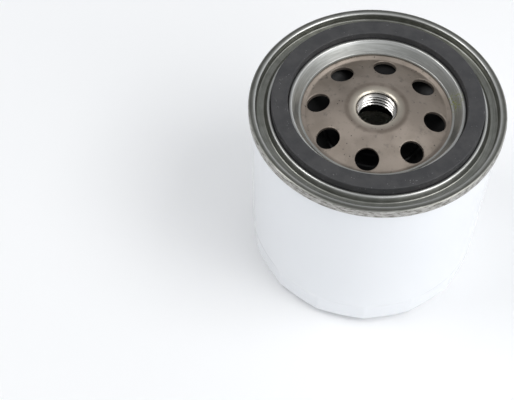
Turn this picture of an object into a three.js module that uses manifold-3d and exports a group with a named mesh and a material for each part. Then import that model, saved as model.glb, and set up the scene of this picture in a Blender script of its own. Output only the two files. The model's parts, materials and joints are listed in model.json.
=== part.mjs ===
// A spin-on oil filter, in millimetres. The origin is the centre of the closed end, which the filter
// stands on, and +Z runs up the axis to the mounting face. A pressed can is closed by a seaming lid and a
// tapped base plate. Inside, a spring holds the pleated element up against the rubber anti-drainback valve.
import * as THREE from "three";
import { mergeVertices } from "three/addons/utils/BufferGeometryUtils.js";
import Module from "manifold-3d";

const wasm = await Module();
wasm.setup();

// Housing
const SEAM_R = 38.1; // outer radius of the double seam
const SEAM_TOP = 68.2; // height of the seam above the closed end
const SEAM_HEIGHT = 3;
const SEAM_HOOK = 0.9; // length of the lid's hook inside the seam
const SEAM_JOG = 1; // height over which the can's wall steps in under the seam
const CAN_R = 37; // outer radius of the can below the seam
const SHEET = 0.36; // thickness of the can and of the lid
const FOLD_GAP = 0.12; // clearance between the layers of the seam
const CLEAR = 0.3; // clearance between pieces that rest on each other
const CORNER_R = 3.8; // rounding between the can's wall and its closed end
const END_RISE = 0.7; // how far the closed end domes up between its flat centre and the rounding
const END_FLAT_R = 22;

// Wrench flats round the closed end
const FLATS = 15;
const FLAT_TOP = 12; // height at which the wall starts to flatten
const FLAT_FULL = 10; // height below which the flats have their full depth
const FLAT_DEPTH = 0.5; // share of the depth at which neighbouring flats would meet in sharp corners
const FLAT_PHASE = THREE.MathUtils.degToRad(16); // angle of the first corner between two flats

// Gasket, its groove in the lid and the recess inside it
const GASKET_IN_R = 26.4;
const GASKET_OUT_R = 31.4;
const GASKET_PROUD = 1.7; // how far the gasket stands above the seam
const GASKET_HEIGHT = 5.2;
const GASKET_EDGE = 0.4;
const GROOVE_GAP = 0.125;
const OUTER_LIP_DEPTH = 1.025; // depth of the lips' middle line below the top of the seam
const OUTER_LIP = 0.8; // width of the lip outside the groove
const LIP_ROUND = 0.35;
const INNER_LIP_DEPTH = 0.5;
const INNER_LIP = 0.55; // width of the lip inside the groove
const INNER_FLARE = 2.95; // how far the recess narrows between the inner lip and the base plate
const CHANNEL_DEPTH = 2.6; // channel between the seam and the groove
const CHANNEL_SLOPE = 0.9; // width of the slope between the channel's floor and the outer lip
const BEND = 0.25; // rounding of the lid's sharper folds
const FLANGE_IN_R = 22.5; // inner edge of the lid, where it lies on the base plate

// Base plate
const PLATE_R = 31.6;
const PLATE_THICK = 1.3;
const CONE_SLOPE = THREE.MathUtils.degToRad(15); // the middle of the plate rises towards the collar
const CONE_OUT_R = 21.2;
const CONE_IN_R = 9.5;
const BOSS_R = 7.2; // inside the cone the plate is level round the collar's mouth
const RIM_IN_R = 22;
const INLETS = 8;
const INLET_R = 3.5;
const INLET_CIRCLE_R = 17.6;
const INLET_DEPTH = 3.8; // depth of the inlet circle below the seam
const THREAD_MAJOR_R = 6; // M12 x 1.25
const THREAD_MINOR_R = 5.32;
const THREAD_PITCH = 1.25;
const THREAD_RINGS = 4;
const MOUTH_DEPTH = 2.5; // depth of the collar's mouth below the seam, where the thread starts
const MOUTH_ROUND = 0.3;
const COLLAR_END = 7.6; // depth of the collar's lower end below the seam
const COLLAR_R = 7.7;
const COLLAR_FILLET = 0.8; // rounding between the collar and the underside of the plate

// Anti-drainback valve
const NECK_IN_R = 8.4;
const NECK_OUT_R = 11.4;
const NECK_DEPTHS = [4.3, 14]; // depths of the neck's ends below the seam
const LIP_R = 24.8;
const RIB_R = 15.2;
const RIB_DEPTH = 9.8; // depth of the raised ring on the flap below the seam
const RIB_HALF = 0.7;
const RIB_HEIGHT = 0.9;
const FLAP_THICK = 1.6;
const LIP_THICK = 1.2;

// Filter element
const CAP_R = 33.25; // outer radius of both end caps
const CAP_SHEET = 0.5;
const CAP_RIM = 3.4;
const CAP_NECK_R = 9.6;
const CAP_NECK = 3;
const LOWER_CAP_Z = 11.6; // underside of the lower end cap
const GLUE_THICK = 1.5;
const GLUE_IN_R = 11.5;
const GLUE_OUT_R = 32.4;
const TUBE_IN_R = 10.6;
const TUBE_OUT_R = 11.2;
const TUBE_ROWS = 4;
const TUBE_HOLES = 6; // holes in each row
const TUBE_HOLE_R = 2;
const PLEATS = 30;
const PLEAT_IN_R = 12.8;
const PLEAT_OUT_R = 32;
const PLEAT_TIP = 1.2; // width of a fold across its tip
const PAPER = 0.5;
const CLIP_SHEET = 0.4;
const CLIP_R = 31.9; // radius of the clip's back
const CLIP_DEPTH = 8;

// Bypass valve
const SEAT_INSET = 0.1; // how far the seat sits up inside the neck of the lower end cap
const SEAT_OUT_R = 9.05;
const SEAT_IN_R = 5.5;
const SEAT_BEAD_R = 6.4;
const SEAT_THICK = 1.2;
const SEAT_BEAD = 0.4;
const BEAD_TAPER = 0.2;
const SEAL_IN_R = 4.6;
const SEAL_OUT_R = 7.6;
const SEAL_THICK = 1.2;
const POPPET_R = 7.9;
const POPPET_THICK = 0.8;
const POPPET_SPIGOT_R = 4.2;
const POPPET_GUIDE_R = 3.4;
const POPPET_GUIDE = 3;
const GUIDE_TAPER = 0.6;
const CAGE_IN_R = 8.5;
const CAGE_HEIGHT = 14;
const CAGE_TOP = 0.6;
const CAGE_VENT_R = 2.2;
const CAGE_WINDOW = [7, 7.5]; // width and height of each side window
const CAGE_BAND = 1.5; // height of the closed band above the windows
const BYPASS_WIRE = 0.9;
const BYPASS_COIL_R = 5;
const BYPASS_TURNS = 4;

// Element spring and the seat washer on top of it
const WASHER_IN_R = 10.2;
const WASHER_OUT_R = 19.6;
const WASHER_SHEET = 0.6;
const WASHER_RIM = 1.2;
const WASHER_BEND = 0.7;
const SPRING_WIRE = 1.8;
const SPRING_TOP_R = 15.5;
const SPRING_FOOT_R = 23;
const SPRING_TURNS = 3;

// Facets round each kind of piece, and steps in each turn of a spring
const FACETS = { can: 3 * FLATS, lid: 48, plate: 40, inner: 32, small: 20, hole: 12, drill: 8, wire: 6 };
const COIL_STEPS = 14;

// Levels worked out from the dimensions above
const FLANGE_Z = SEAM_TOP - GASKET_HEIGHT + GASKET_PROUD - GROOVE_GAP - SHEET / 2; // lid's groove floor
const PLATE_TOP = FLANGE_Z - SHEET / 2 - FOLD_GAP;
const PLATE_BOTTOM = PLATE_TOP - PLATE_THICK;
const NECK_BOTTOM = SEAM_TOP - NECK_DEPTHS[1];
const UPPER_CAP_Z = NECK_BOTTOM - CLEAR; // top face of the upper end cap
const UPPER_GLUE_Z = UPPER_CAP_Z - CAP_SHEET - CLEAR - GLUE_THICK;
const LOWER_GLUE_Z = LOWER_CAP_Z + CAP_SHEET + CLEAR;
const PLEAT_BOTTOM = LOWER_GLUE_Z + GLUE_THICK + CLEAR;
const PLEAT_HEIGHT = UPPER_GLUE_Z - CLEAR - PLEAT_BOTTOM;
const SEAT_Z = LOWER_CAP_Z + SEAT_INSET; // underside of the bypass seat
const SEAL_Z = SEAT_Z + SEAT_THICK + SEAT_BEAD + CLEAR;
const POPPET_Z = SEAL_Z + SEAL_THICK + CLEAR;
const CAGE_Z = SEAT_Z + SEAT_THICK + CLEAR;
const WASHER_TOP = LOWER_CAP_Z - CLEAR;

const point = (r, z) => new THREE.Vector2(r, z);

// ---- Shapes ----

// The outline of a strip of even thickness laid along an open path.
function strip(path, thickness) {
  const offsets = path.map((p, i) => {
    const after = (path[i + 1] ?? p).clone().sub(path[i + 1] ? p : path[i - 1]).normalize();
    const before = i ? p.clone().sub(path[i - 1]).normalize() : after;
    const along = before.clone().add(after).normalize();
    return point(-along.y, along.x).multiplyScalar(thickness / 2 / along.dot(after));
  });
  const left = path.map((p, i) => p.clone().add(offsets[i]));
  const right = path.map((p, i) => p.clone().sub(offsets[i]));
  return [...left, ...right.reverse()];
}

// Part of a circle from one angle to another, as points of a profile.
function arc(centre, radius, from, to, steps) {
  return Array.from({ length: steps + 1 }, (_, i) => {
    const angle = from + ((to - from) * i) / steps;
    return point(centre.x + radius * Math.cos(angle), centre.y + radius * Math.sin(angle));
  });
}

// A closed profile turned about Z. Its points may run either way round.
function turned(profile, facets) {
  const loop = THREE.ShapeUtils.area(profile) < 0 ? [...profile].reverse() : [...profile];
  const firstOnAxis = loop.findIndex((p, i) => p.x === 0 && loop.at(i - 1).x === 0);
  const start = Math.max(firstOnAxis, 0);
  const ordered = [...loop.slice(start), ...loop.slice(0, start)];
  if (firstOnAxis < 0) ordered.push(ordered[0].clone());
  return new THREE.LatheGeometry(ordered, facets).rotateX(Math.PI / 2);
}

// A square-edged ring, or a disc when the inner radius is 0.
function ring(inner, outer, bottom, height, facets) {
  const top = bottom + height;
  return turned([point(inner, bottom), point(outer, bottom), point(outer, top), point(inner, top)], facets);
}

// An outline in the XY plane raised to a height.
function raised(outline, bottom, height) {
  const settings = { depth: height, bevelEnabled: false };
  return new THREE.ExtrudeGeometry(new THREE.Shape(outline), settings).translate(0, 0, bottom);
}

// A helix about Z whose radius may change from foot to top.
class Helix extends THREE.Curve {
  constructor(footRadius, topRadius, foot, top, turns) {
    super();
    Object.assign(this, { footRadius, topRadius, foot, top, turns });
  }

  getPoint(t) {
    const radius = THREE.MathUtils.lerp(this.footRadius, this.topRadius, t);
    const angle = t * this.turns * 2 * Math.PI;
    const height = THREE.MathUtils.lerp(this.foot, this.top, t);
    return new THREE.Vector3(radius * Math.cos(angle), radius * Math.sin(angle), height);
  }
}

// Round wire wound along a helix.
function coil(helix, wire) {
  const section = Array.from({ length: FACETS.wire }, (_, i) => {
    const angle = (i * 2 * Math.PI) / FACETS.wire;
    return point((wire / 2) * Math.cos(angle), (wire / 2) * Math.sin(angle));
  });
  const settings = { steps: helix.turns * COIL_STEPS, extrudePath: helix, bevelEnabled: false };
  return new THREE.ExtrudeGeometry(new THREE.Shape(section), settings);
}

function toSolid(geometry) {
  const bare = geometry.clone();
  bare.deleteAttribute("normal");
  bare.deleteAttribute("uv");
  const merged = mergeVertices(bare, 1e-4);
  const corners = merged.index.array;
  const triVerts = [];
  for (let i = 0; i < corners.length; i += 3) {
    const [a, b, c] = corners.slice(i, i + 3);
    if (a !== b && b !== c && c !== a) triVerts.push(a, b, c);
  }
  const vertProperties = merged.attributes.position.array;
  const mesh = new wasm.Mesh({ numProp: 3, vertProperties, triVerts: new Uint32Array(triVerts) });
  return new wasm.Manifold(mesh);
}

function toGeometry(solid) {
  const mesh = solid.getMesh();
  const geometry = new THREE.BufferGeometry();
  geometry.setAttribute("position", new THREE.BufferAttribute(mesh.vertProperties, 3));
  geometry.setIndex(new THREE.BufferAttribute(mesh.triVerts, 1));
  geometry.computeVertexNormals();
  return geometry;
}

// A geometry with each of the cutters taken out of it.
function cut(geometry, cutters) {
  return toGeometry(cutters.reduce((solid, cutter) => solid.subtract(toSolid(cutter)), toSolid(geometry)));
}

// ---- Housing ----

// Middle lines of the seam's five layers, counted from the outside in.
const layerR = (layer) => SEAM_R - SHEET / 2 - layer * (SHEET + FOLD_GAP);

// Presses the flats into the lower end of the can by drawing each vertex part of the way in towards a
// regular polygon.
function pressFlats(geometry) {
  const position = geometry.attributes.position;
  const pitch = (2 * Math.PI) / FLATS;
  const rounding = CAN_R - CORNER_R;
  for (let i = 0; i < position.count; i++) {
    const [x, y, z] = [position.getX(i), position.getY(i), position.getZ(i)];
    const radius = Math.hypot(x, y);
    const fade = THREE.MathUtils.smoothstep(-z, -FLAT_TOP, -FLAT_FULL);
    const depth = fade * THREE.MathUtils.smoothstep(radius, rounding - SHEET, CAN_R - SHEET);
    const turn = THREE.MathUtils.euclideanModulo(Math.atan2(y, x), pitch) - pitch / 2;
    const flat = Math.cos(pitch / 2) / Math.cos(turn);
    const scale = THREE.MathUtils.lerp(1, flat, depth * FLAT_DEPTH);
    position.setXY(i, x * scale, y * scale);
  }
  return geometry;
}

function can() {
  const wall = CAN_R - SHEET / 2;
  const seamTop = SEAM_TOP - SHEET * 1.5 - FOLD_GAP;
  const seamFoot = SEAM_TOP - SEAM_HEIGHT - CLEAR;
  const hookEnd = SEAM_TOP - SEAM_HEIGHT + SHEET + FOLD_GAP;
  const roundingTop = END_RISE + CORNER_R;
  const path = [
    point(layerR(1), hookEnd),
    point(layerR(1), seamTop),
    point(layerR(3), seamTop),
    point(layerR(3), seamFoot),
    point(wall, seamFoot - SEAM_JOG),
    point(wall, FLAT_TOP),
    point(wall, FLAT_FULL),
    ...arc(point(wall - CORNER_R, roundingTop), CORNER_R, 0, -Math.PI / 2, 3),
    point(END_FLAT_R, SHEET / 2),
    point(0, SHEET / 2),
  ];
  return pressFlats(turned(strip(path, SHEET), FACETS.can)).rotateZ(FLAT_PHASE);
}

// Runs from the hook inside the seam, over the seam and down into the channel, then up over the outer lip,
// round the gasket's groove, over the inner lip and down to the flange on the base plate.
function seamingLid() {
  const top = SEAM_TOP - SHEET / 2;
  const curl = SEAM_TOP - SEAM_HEIGHT + SHEET / 2;
  const channel = SEAM_TOP - CHANNEL_DEPTH;
  const outerLip = SEAM_TOP - OUTER_LIP_DEPTH;
  const innerLip = SEAM_TOP - INNER_LIP_DEPTH;
  const grooveOut = GASKET_OUT_R + GROOVE_GAP + SHEET / 2;
  const grooveIn = GASKET_IN_R - GROOVE_GAP - SHEET / 2;
  const path = [
    point(layerR(2), curl + SEAM_HOOK),
    point(layerR(2), curl),
    point(layerR(0), curl),
    point(layerR(0), top - BEND),
    point(layerR(0) - BEND, top),
    point(layerR(4) + BEND, top),
    point(layerR(4), top - BEND),
    point(layerR(4), channel + BEND),
    point(layerR(4) - BEND, channel),
    point(grooveOut + OUTER_LIP + CHANNEL_SLOPE, channel),
    point(grooveOut + OUTER_LIP, outerLip - LIP_ROUND),
    point(grooveOut + OUTER_LIP / 2, outerLip),
    point(grooveOut, outerLip - LIP_ROUND),
    point(grooveOut, FLANGE_Z),
    point(grooveIn, FLANGE_Z),
    point(grooveIn, innerLip - BEND),
    point(grooveIn - INNER_LIP, innerLip),
    point(grooveIn - INNER_FLARE, FLANGE_Z),
    point(FLANGE_IN_R, FLANGE_Z),
  ];
  return turned(strip(path, SHEET), FACETS.lid);
}

// Sealing compound trapped in the seam above the lid's hook.
function seamSealant() {
  const bottom = SEAM_TOP - SEAM_HEIGHT + SHEET / 2 + SEAM_HOOK + FOLD_GAP;
  const top = SEAM_TOP - 2 * SHEET - 2 * FOLD_GAP;
  const half = (SHEET - FOLD_GAP) / 2;
  return ring(layerR(2) - half, layerR(2) + half, bottom, top - bottom, FACETS.lid);
}

// A flat rim and a conical middle, drawn down at the centre into a threaded collar.
function basePlate() {
  const below = (depth) => SEAM_TOP - depth;
  const cone = (r) => below(INLET_DEPTH) + (INLET_CIRCLE_R - r) * Math.tan(CONE_SLOPE);
  const thread = [];
  for (let i = 0; i < THREAD_RINGS; i++) {
    const crest = MOUTH_DEPTH + (i + 0.5) * THREAD_PITCH;
    thread.push(point(THREAD_MINOR_R, below(crest)), point(THREAD_MAJOR_R, below(crest + THREAD_PITCH / 2)));
  }
  const profile = [
    point(PLATE_R, PLATE_BOTTOM),
    point(PLATE_R, PLATE_TOP),
    point(RIM_IN_R, PLATE_TOP),
    point(CONE_OUT_R, cone(CONE_OUT_R)),
    point(CONE_IN_R, cone(CONE_IN_R)),
    point(BOSS_R, cone(CONE_IN_R)),
    point(THREAD_MAJOR_R + MOUTH_ROUND, cone(CONE_IN_R) - MOUTH_ROUND),
    point(THREAD_MAJOR_R, below(MOUTH_DEPTH)),
    ...thread,
    point(THREAD_MAJOR_R, below(COLLAR_END)),
    point(COLLAR_R, below(COLLAR_END)),
    point(COLLAR_R, cone(COLLAR_R) - PLATE_THICK - COLLAR_FILLET),
    point(COLLAR_R + COLLAR_FILLET, cone(COLLAR_R + COLLAR_FILLET) - PLATE_THICK),
    point(CONE_OUT_R, cone(CONE_OUT_R) - PLATE_THICK),
    point(RIM_IN_R, PLATE_BOTTOM),
  ];
  const inlets = Array.from({ length: INLETS }, (_, i) => {
    const drill = new THREE.CylinderGeometry(INLET_R, INLET_R, 4 * PLATE_THICK, FACETS.hole);
    drill.rotateX(Math.PI / 2).rotateY(CONE_SLOPE).translate(INLET_CIRCLE_R, 0, below(INLET_DEPTH));
    return drill.rotateZ((i * 2 * Math.PI) / INLETS);
  });
  return cut(turned(profile, FACETS.plate), inlets);
}

function gasket() {
  const top = SEAM_TOP + GASKET_PROUD;
  const bottom = top - GASKET_HEIGHT;
  const profile = [
    point(GASKET_IN_R, bottom),
    point(GASKET_OUT_R, bottom),
    point(GASKET_OUT_R, top - GASKET_EDGE),
    point(GASKET_OUT_R - GASKET_EDGE, top),
    point(GASKET_IN_R + GASKET_EDGE, top),
    point(GASKET_IN_R, top - GASKET_EDGE),
  ];
  return turned(profile, FACETS.lid);
}

// A rubber neck round the collar with a conical flap whose lip closes the inlet holes from below.
function antiDrainbackValve() {
  const lip = PLATE_BOTTOM - CLEAR;
  const neckTop = SEAM_TOP - NECK_DEPTHS[0];
  const rib = SEAM_TOP - RIB_DEPTH;
  const web = rib - RIB_HEIGHT;
  const profile = [
    point(NECK_IN_R, NECK_BOTTOM),
    point(NECK_OUT_R, NECK_BOTTOM),
    point(NECK_OUT_R, web - FLAP_THICK),
    point(RIB_R - RIB_HALF, web - FLAP_THICK),
    point(LIP_R, lip - LIP_THICK),
    point(LIP_R, lip - LIP_THICK / 2),
    point(LIP_R - LIP_THICK / 2, lip),
    point(RIB_R + RIB_HALF, rib - RIB_HEIGHT / 3),
    point(RIB_R, rib),
    point(RIB_R - RIB_HALF, web),
    point(NECK_OUT_R - RIB_HALF, web),
    point(NECK_OUT_R - RIB_HALF, neckTop),
    point(NECK_IN_R, neckTop),
  ];
  return turned(profile, FACETS.inner);
}

// ---- Filter element ----

// A pressed cap whose rim and neck point into the element: up on the lower cap, down on the upper one.
function endCap(face, into) {
  const middle = face + (into * CAP_SHEET) / 2;
  const path = [
    point(CAP_NECK_R, face + into * CAP_NECK),
    point(CAP_NECK_R, middle),
    point(CAP_R - CAP_SHEET / 2, middle),
    point(CAP_R - CAP_SHEET / 2, face + into * CAP_RIM),
  ];
  return turned(strip(path, CAP_SHEET), FACETS.inner);
}

const glueRing = (bottom) => ring(GLUE_IN_R, GLUE_OUT_R, bottom, GLUE_THICK, FACETS.inner);

function pleatedMedia() {
  const pitch = (2 * Math.PI) / PLEATS;
  const tip = (radius, angle) =>
    [-1, 1].map((side) => {
      const turn = angle + (side * PLEAT_TIP) / 2 / radius;
      return point(radius * Math.cos(turn), radius * Math.sin(turn));
    });
  const seamEnd = (side) => point(CLIP_R - CLIP_SHEET / 2 - CLEAR, (side * PLEAT_TIP) / 2);
  const folds = Array.from({ length: PLEATS }, (_, i) => [
    ...(i ? tip(PLEAT_OUT_R, i * pitch) : []),
    ...tip(PLEAT_IN_R, (i + 0.5) * pitch),
  ]);
  const path = [seamEnd(1), ...folds.flat(), seamEnd(-1)];
  return raised(strip(path, PAPER), PLEAT_BOTTOM, PLEAT_HEIGHT);
}

// A folded steel channel that grips the two ends of the paper.
function mediaSeamClip() {
  const arm = PLEAT_TIP / 2 + PAPER / 2 + CLEAR + CLIP_SHEET / 2;
  const end = CLIP_R - CLIP_DEPTH;
  const corners = [point(end, -arm), point(CLIP_R, -arm), point(CLIP_R, arm), point(end, arm)];
  return raised(strip(corners, CLIP_SHEET), PLEAT_BOTTOM, PLEAT_HEIGHT);
}

function centreTube() {
  const height = UPPER_GLUE_Z + GLUE_THICK - LOWER_GLUE_Z;
  const drills = [];
  for (let row = 0; row < TUBE_ROWS; row++) {
    const level = LOWER_GLUE_Z + (height * (row + 1)) / (TUBE_ROWS + 1);
    for (let i = 0; i < TUBE_HOLES / 2; i++) {
      const turn = ((i + (row % 2) / 2) * 2 * Math.PI) / TUBE_HOLES;
      const drill = new THREE.CylinderGeometry(TUBE_HOLE_R, TUBE_HOLE_R, 3 * TUBE_OUT_R, FACETS.drill);
      drills.push(drill.rotateZ(turn).translate(0, 0, level));
    }
  }
  return cut(ring(TUBE_IN_R, TUBE_OUT_R, LOWER_GLUE_Z, height, FACETS.inner), drills);
}

// ---- Bypass valve ----

// A flat ring with a raised bead that the seal closes on.
function bypassSeat() {
  const top = SEAT_Z + SEAT_THICK;
  const profile = [
    point(SEAT_IN_R, SEAT_Z),
    point(SEAT_OUT_R, SEAT_Z),
    point(SEAT_OUT_R, top),
    point(SEAT_BEAD_R, top),
    point(SEAT_BEAD_R - BEAD_TAPER, top + SEAT_BEAD),
    point(SEAT_IN_R, top + SEAT_BEAD),
  ];
  return turned(profile, FACETS.small);
}

const bypassSeal = () => ring(SEAL_IN_R, SEAL_OUT_R, SEAL_Z, SEAL_THICK, FACETS.small);

// A disc with a spigot that centres the seal below it and a guide that centres the spring above it.
function bypassPoppet() {
  const top = POPPET_Z + POPPET_THICK;
  const profile = [
    point(0, SEAL_Z),
    point(POPPET_SPIGOT_R, SEAL_Z),
    point(POPPET_SPIGOT_R, POPPET_Z),
    point(POPPET_R, POPPET_Z),
    point(POPPET_R, top),
    point(POPPET_GUIDE_R, top),
    point(POPPET_GUIDE_R - GUIDE_TAPER, top + POPPET_GUIDE),
    point(0, top + POPPET_GUIDE),
  ];
  return turned(profile, FACETS.small);
}

function bypassSpring() {
  const foot = POPPET_Z + POPPET_THICK + BYPASS_WIRE / 2 + FOLD_GAP;
  const top = CAGE_Z + CAGE_HEIGHT - CAGE_TOP - BYPASS_WIRE / 2 - FOLD_GAP;
  return coil(new Helix(BYPASS_COIL_R, BYPASS_COIL_R, foot, top, BYPASS_TURNS), BYPASS_WIRE);
}

// An upturned cup that holds the spring down, with four windows for the oil.
function bypassCage() {
  const top = CAGE_Z + CAGE_HEIGHT;
  const profile = [
    point(CAGE_IN_R, CAGE_Z),
    point(SEAT_OUT_R, CAGE_Z),
    point(SEAT_OUT_R, top),
    point(CAGE_VENT_R, top),
    point(CAGE_VENT_R, top - CAGE_TOP),
    point(CAGE_IN_R, top - CAGE_TOP),
  ];
  const [width, height] = CAGE_WINDOW;
  const level = top - CAGE_TOP - CAGE_BAND - height / 2;
  const across = new THREE.BoxGeometry(3 * SEAT_OUT_R, width, height).translate(0, 0, level);
  return cut(turned(profile, FACETS.small), [across, across.clone().rotateZ(Math.PI / 2)]);
}

// ---- Element spring ----

function springWasher() {
  const middle = WASHER_TOP - WASHER_SHEET / 2;
  const path = [
    point(WASHER_IN_R, middle),
    point(WASHER_OUT_R - WASHER_BEND, middle),
    point(WASHER_OUT_R, middle - WASHER_RIM),
  ];
  return turned(strip(path, WASHER_SHEET), FACETS.inner);
}

function elementSpring() {
  const foot = SHEET + FOLD_GAP + SPRING_WIRE / 2;
  const top = WASHER_TOP - WASHER_SHEET - FOLD_GAP - SPRING_WIRE / 2;
  return coil(new Helix(SPRING_FOOT_R, SPRING_TOP_R, foot, top, SPRING_TURNS), SPRING_WIRE);
}

// ---- Assembly ----

const finish = (color, roughness, metalness) => ({ color, roughness, metalness });
const WHITE_PAINT = finish("#f2f4f7", 0.18, 0);
const ZINC = finish("#8b8a78", 0.38, 0.85);
const PLATE_STEEL = finish("#736c66", 0.45, 0.8);
const TIN_PLATE = finish("#a9a9a2", 0.35, 0.85);
const SPRING_STEEL = finish("#6e7073", 0.4, 0.85);
const GASKET_RUBBER = finish("#4b4c4b", 0.75, 0);
const VALVE_RUBBER = finish("#161616", 0.6, 0);
const COMPOUND = finish("#7d7f7a", 0.7, 0);
const PAPER_YELLOW = finish("#d6b36c", 0.9, 0);
const PLASTISOL = finish("#3d6f86", 0.55, 0);
const BLACK_NYLON = finish("#222325", 0.5, 0);

const filter = new THREE.Group();

function add(group, name, geometry, surface) {
  const mesh = new THREE.Mesh(geometry, new THREE.MeshStandardMaterial(surface));
  mesh.name = name;
  group.add(mesh);
}

const housing = new THREE.Group();
add(housing, "can", can(), WHITE_PAINT);
add(housing, "seaming_lid", seamingLid(), ZINC);
add(housing, "seam_sealant", seamSealant(), COMPOUND);
add(housing, "base_plate", basePlate(), PLATE_STEEL);
add(housing, "gasket", gasket(), GASKET_RUBBER);
add(housing, "element_spring", elementSpring(), SPRING_STEEL);

const drainback = new THREE.Group();
add(drainback, "anti_drainback_valve", antiDrainbackValve(), VALVE_RUBBER);

const element = new THREE.Group();
add(element, "upper_end_cap", endCap(UPPER_CAP_Z, -1), TIN_PLATE);
add(element, "lower_end_cap", endCap(LOWER_CAP_Z, 1), TIN_PLATE);
add(element, "upper_glue", glueRing(UPPER_GLUE_Z), PLASTISOL);
add(element, "lower_glue", glueRing(LOWER_GLUE_Z), PLASTISOL);
add(element, "pleated_media", pleatedMedia(), PAPER_YELLOW);
add(element, "media_seam_clip", mediaSeamClip(), TIN_PLATE);
add(element, "centre_tube", centreTube(), TIN_PLATE);
add(element, "spring_washer", springWasher(), SPRING_STEEL);
add(element, "bypass_seat", bypassSeat(), TIN_PLATE);
add(element, "bypass_cage", bypassCage(), TIN_PLATE);
add(element, "bypass_spring", bypassSpring(), SPRING_STEEL);

const bypass = new THREE.Group();
add(bypass, "bypass_poppet", bypassPoppet(), BLACK_NYLON);
add(bypass, "bypass_seal", bypassSeal(), VALVE_RUBBER);

filter.add(housing, drainback, element, bypass);

export default filter;
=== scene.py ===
"""A spin-on oil filter standing on its closed end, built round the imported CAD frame. Lengths are in
millimetres until a mesh is made, and a point of a turned outline is (radius, height)."""

import json
import math

import bmesh
import bpy
import numpy as np
from mathutils import Matrix, Vector

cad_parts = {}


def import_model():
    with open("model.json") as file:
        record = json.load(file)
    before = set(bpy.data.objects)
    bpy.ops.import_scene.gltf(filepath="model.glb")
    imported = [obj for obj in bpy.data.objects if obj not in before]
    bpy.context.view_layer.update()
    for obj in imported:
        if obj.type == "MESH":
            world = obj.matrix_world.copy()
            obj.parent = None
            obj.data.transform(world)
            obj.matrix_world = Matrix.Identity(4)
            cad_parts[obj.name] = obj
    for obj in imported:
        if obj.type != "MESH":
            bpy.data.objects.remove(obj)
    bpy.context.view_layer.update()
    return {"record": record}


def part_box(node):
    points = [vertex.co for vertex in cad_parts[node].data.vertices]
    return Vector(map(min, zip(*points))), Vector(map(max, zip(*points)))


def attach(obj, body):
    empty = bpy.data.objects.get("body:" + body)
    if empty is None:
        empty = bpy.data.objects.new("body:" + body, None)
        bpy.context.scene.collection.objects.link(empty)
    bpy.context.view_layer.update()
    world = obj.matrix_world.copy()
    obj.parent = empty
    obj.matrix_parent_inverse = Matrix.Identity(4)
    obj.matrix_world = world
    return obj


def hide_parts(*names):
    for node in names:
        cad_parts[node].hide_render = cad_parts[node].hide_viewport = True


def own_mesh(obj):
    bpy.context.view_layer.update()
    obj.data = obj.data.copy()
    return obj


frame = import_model()

MM = 0.001
TURN = 2 * math.pi
SHARP = math.radians(40)
TINY = 1e-7
CUT_WELD = 3e-6


def extent(node):
    """Lowest and highest corner of a CAD node, in millimetres."""
    low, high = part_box(node)
    return Vector(low) / MM, Vector(high) / MM


LID_HIGH = extent("seaming_lid")[1]
GASKET_LOW, GASKET_HIGH = extent("gasket")
PLATE_LOW, PLATE_HIGH = extent("base_plate")
VALVE_LOW, VALVE_HIGH = extent("anti_drainback_valve")

# Housing
SEAM_R = LID_HIGH.x
SEAM_TOP = LID_HIGH.z
SEAM_HEIGHT = 3.0
SEAM_HOOK = 0.9
SEAM_JOG = 1.0
CAN_R = 37.0
SHEET = 0.36
FOLD_GAP = 0.12
FOLD_BEND = 0.29
CLEAR = 0.3
CORNER_R = 3.8
END_RISE = 0.7
END_FLAT_R = 22.0
FLATS = 15
FLAT_TOP = 12.0
FLAT_FULL = 10.0
FLAT_DEPTH = 0.5
FLAT_PHASE = math.radians(16)

# Gasket and lid
GASKET_OUT_R = GASKET_HIGH.x
GASKET_IN_R = 26.4
GROOVE_GAP = 0.125
GROOVE_FLOOR = GASKET_LOW.z - GROOVE_GAP - SHEET / 2
GASKET_EDGE = 0.35
OUTER_LIP_DEPTH = 1.025
OUTER_LIP = 0.6
INNER_LIP_DEPTH = 0.5
INNER_LIP = 0.75
INNER_FLARE = 3.0
CHANNEL_DEPTH = 2.6
CHANNEL_IN = 1.7
FLANGE_IN_R = 22.5
FLECKS = (22.5, 7.3, SEAM_TOP - 2.9)

# Base plate
PLATE_R = PLATE_HIGH.x
PLATE_TOP = GROOVE_FLOOR - SHEET / 2 - FOLD_GAP
PLATE_THICK = 1.3
PLATE_BEND = 0.8
PLATE_EDGE = 0.4
CONE_SLOPE = math.radians(15)
CONE_OUT_R = 21.2
CONE_STEP = 0.7
RIM_IN_R = 22.2
INLETS = 8
INLET_R = 3.5
INLET_CIRCLE_R = 17.6
INLET_Z = SEAM_TOP - 3.8
INLET_EDGE = 0.28
THREAD_MAJOR_R = 6.0
THREAD_MINOR_R = 5.32
THREAD_PITCH = 1.25
THREAD_START = 0.25
THREAD_STEP = 0.06
THREAD_STOP = 0.4
MOUTH_R = 9.5
BOSS_Z = SEAM_TOP - 1.3
MOUTH_Z = SEAM_TOP - 2.6
COLLAR_R = 7.7

# Anti-drainback valve
NECK_IN_R = 8.4
NECK_OUT_R = 11.4
NECK_TOP = SEAM_TOP - 4.3
RIB_R = 15.2
RIB_TOP = SEAM_TOP - 9.8
RIB_HEIGHT = 0.9
RIB_HALF = 0.7
FLAP_THICK = 1.6
LIP_THICK = 1.2

# Filter element
CAP_SHEET = 0.5
CAP_NECK_R = 9.6
CAP_NECK = 3.0
GLUE_IN_R = 11.5
TUBE_WALL = 0.6
TUBE_ROWS = 4
TUBE_HOLES = 6
TUBE_HOLE_R = 2.0
PLEATS = 30
PLEAT_IN_R = 12.8
PLEAT_OUT_R = 32.0
PLEAT_TIP = 1.2
PAPER = 0.5
CLIP_SHEET = 0.4
CLIP_DEPTH = 8.0
CLIP_R = 31.9

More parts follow.
